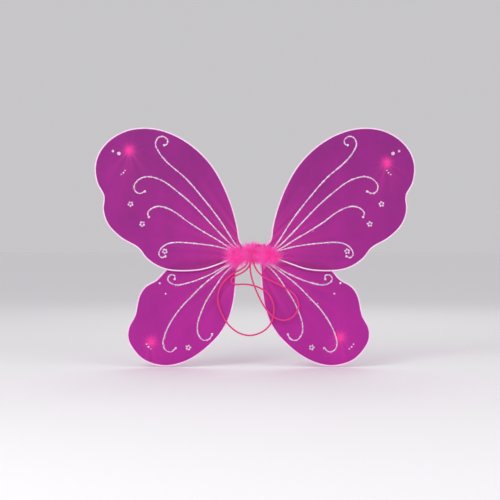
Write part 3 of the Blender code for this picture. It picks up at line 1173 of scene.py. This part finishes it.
class FAIRY_OT_shoulder_elastics(bpy.types.Operator):
    """Hangs the two shoulder elastics and ties the knot"""

    bl_idname = "fairy.shoulder_elastics"
    bl_label = "Shoulder Elastics"

    def execute(self, context):
        look = context.scene.fairy_elastic
        finish = braided_elastic(look)
        for name, route in (("right_strap", RIGHT_STRAP_ROUTE), ("left_strap", LEFT_STRAP_ROUTE)):
            path = smooth_path([Vector(p) * MM for p in route], STRAP_GAP)
            strap = braided_tube(name + "_elastic", path, look.diameter / 2, finish)
            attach(strap, "hub")
            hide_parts(name)
        self.knot(look, finish)
        return {"FINISHED"}

    def knot(self, look, finish):
        """The elastic's ends, tied over each other against the hub: most of a trefoil."""
        low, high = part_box("strap_knot")
        centre = (low + high) / 2
        radius = look.diameter / 2 * 0.92
        room = (high - low) / 2 - Vector((radius, radius, radius * 0.8))
        steps, tied = 159, 0.93
        path = []
        for step in range(steps + 1):
            t = 2 * math.pi * step / steps * tied
            x = (math.sin(t) + 2 * math.sin(2 * t)) / 3
            z = (math.cos(t) - 2 * math.cos(2 * t)) / 3
            path.append(centre + Vector((x * room.x, -math.sin(3 * t) * room.y * 0.9, z * room.z)))
        path = evenly(path, path_length(path) / steps)
        knot = braided_tube("strap_knot_elastic", path, radius, finish)
        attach(knot, "hub")
        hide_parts("strap_knot")


class FAIRY_OT_stage(bpy.types.Operator):
    """Sets out the floor, the studio light and the camera"""

    bl_idname = "fairy.stage"
    bl_label = "Stage"

    def execute(self, context):
        look = context.scene.fairy_stage
        self.floor(look)
        self.lights()
        world = bpy.data.worlds.new("studio")
        world.use_nodes = True
        backdrop = world.node_tree.nodes["Background"]
        backdrop.inputs["Color"].default_value = linear("#F6F4F7")
        backdrop.inputs["Strength"].default_value = WORLD_STRENGTH
        context.scene.world = world
        context.scene.view_settings.view_transform = "Standard"
        self.camera(context, look)
        return {"FINISHED"}

    def floor(self, look):
        height = CAD_LOW.z - FLOOR_DROP
        made, tree = new_material("studio_floor")
        grain = cloudy(tree, (30.0,) * 3, 3.0)
        opaque(tree, {
            "Base Color": linear(look.floor), "Roughness": range_between(tree, grain, 0.75, 0.85),
        })
        corners = [(x * FLOOR_REACH, z * FLOOR_REACH, height)
                   for x, z in ((-1, -1), (1, -1), (1, 1), (-1, 1))]
        floor = mesh_piece("floor", corners, [(0, 1, 2, 3)], made, smooth=False, closed=False)

    def lights(self):
        for name, place, size, power in (
            ("key_light", (-0.9, -1.5, 1.0), 0.9, 13.0),
            ("fill_light", (1.3, -1.3, 0.6), 1.2, 6.0),
            ("back_light", (0.2, 1.4, 1.1), 1.0, 3.0),
        ):
            light = bpy.data.lights.new(name, "AREA")
            light.size = size
            light.energy = power
            made = in_scene(name, light)
            made.location = place
            made.rotation_euler = (-Vector(place)).to_track_quat("-Z", "Y").to_euler()

    def camera(self, context, look):
        data = bpy.data.cameras.new("camera")
        data.lens = look.focal_length
        made = in_scene("camera", data)
        far = look.view_width * look.focal_length / data.sensor_width
        made.location = (VIEW_MIDDLE[0], -far, VIEW_MIDDLE[1])
        made.rotation_euler = (math.pi / 2, 0, 0)
        context.scene.camera = made


class FAIRY_PT_wings(bpy.types.Panel):
    """Lists the wings' pieces"""

    bl_idname = "FAIRY_PT_wings"
    bl_label = "Fairy Wings"
    bl_space_type = "VIEW_3D"
    bl_region_type = "UI"
    bl_category = "Fairy Wings"

    def draw(self, context):
        for operator in OPERATORS:
            self.layout.operator(operator.bl_idname)
        for name, group in SETTINGS.items():
            box = self.layout.box()
            for key in group.__annotations__:
                box.prop(getattr(context.scene, name), key)


SETTINGS = {
    "fairy_nylon": FairyWingsNylon,
    "fairy_wire": FairyWingsWire,
    "fairy_glitter": FairyWingsGlitter,
    "fairy_trim": FairyWingsTrim,
    "fairy_elastic": FairyWingsElastic,
    "fairy_stage": FairyWingsStage,
}
OPERATORS = (
    FAIRY_OT_stage,
    FAIRY_OT_shoulder_elastics,
    FAIRY_OT_wire_frames,
    FAIRY_OT_nylon_covers,
    FAIRY_OT_glitter,
    FAIRY_OT_gathers,
    FAIRY_OT_roots,
    FAIRY_OT_hub,
    FAIRY_OT_feather_trim,
)


def register():
    for group in SETTINGS.values():
        bpy.utils.register_class(group)
    for name, group in SETTINGS.items():
        setattr(bpy.types.Scene, name, bpy.props.PointerProperty(type=group))
    for operator in (*OPERATORS, FAIRY_PT_wings):
        bpy.utils.register_class(operator)


def unregister():
    for operator in (FAIRY_PT_wings, *reversed(OPERATORS)):
        bpy.utils.unregister_class(operator)
    for name in SETTINGS:
        delattr(bpy.types.Scene, name)
    for group in reversed(SETTINGS.values()):
        bpy.utils.unregister_class(group)


def main():
    register()
    bpy.ops.fairy.stage()
    bpy.ops.fairy.shoulder_elastics()
    bpy.ops.fairy.wire_frames()
    bpy.ops.fairy.nylon_covers()
    bpy.ops.fairy.glitter()
    bpy.ops.fairy.gathers()
    bpy.ops.fairy.roots()
    bpy.ops.fairy.hub()
    bpy.ops.fairy.feather_trim()


if __name__ == "__main__":
    main()
